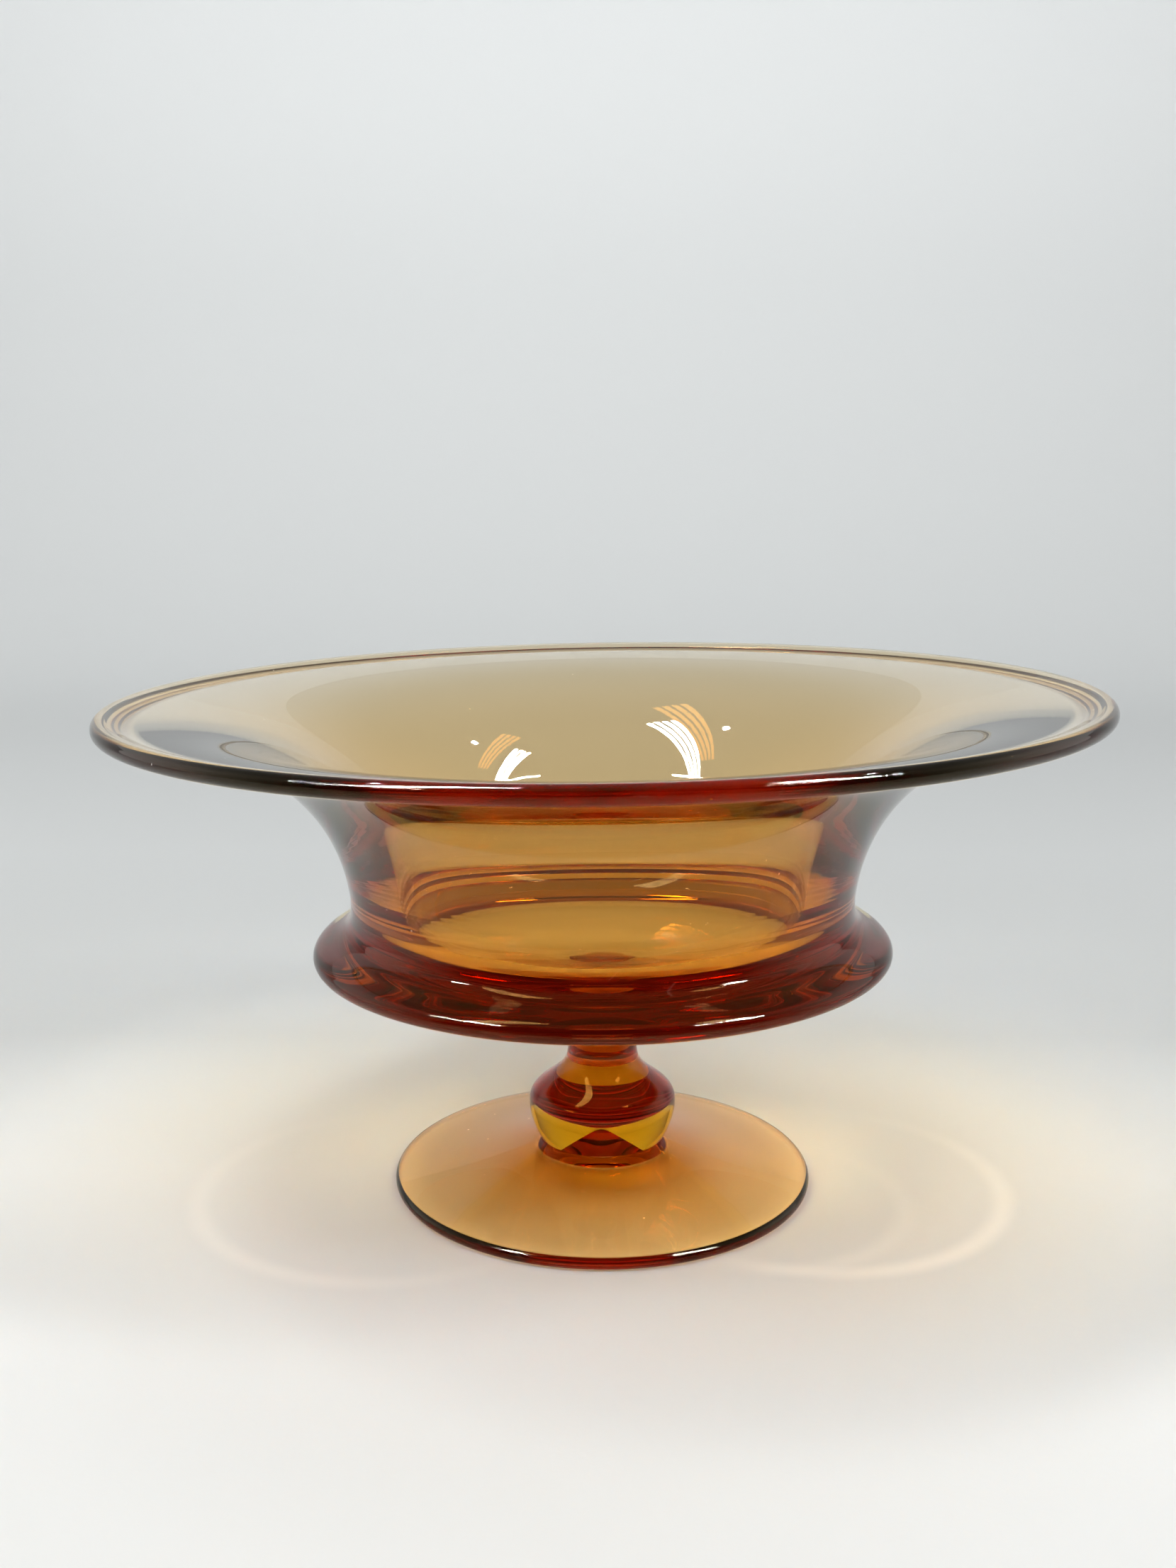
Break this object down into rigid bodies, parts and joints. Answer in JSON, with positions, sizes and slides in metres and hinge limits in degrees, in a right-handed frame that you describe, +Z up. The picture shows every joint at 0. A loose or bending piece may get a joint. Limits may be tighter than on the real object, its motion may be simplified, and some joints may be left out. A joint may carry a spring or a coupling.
{
  "type": "footed console bowl",
  "caption": "Hand-blown amber glass console bowl with a wide flared rim, a flanged collar, a knopped stem and a round disc foot.",
  "frame": {"origin": "under the middle of the foot, on the surface that the bowl stands on", "axes": "+Z up along the axis that every piece is turned about, -Y towards the viewer, +X to the right in the picture"},
  "size_m": [0.3046, 0.3046, 0.159],
  "materials": {
    "bowl_glass": "gloss",
    "collar_glass": "gloss",
    "stem_glass": "gloss",
    "foot_glass": "gloss"
  },
  "bodies": {
    "root": {"bowl": "bowl_glass", "collar": "collar_glass", "stem": "stem_glass", "foot": "foot_glass"}
  },
  "joints": []
}
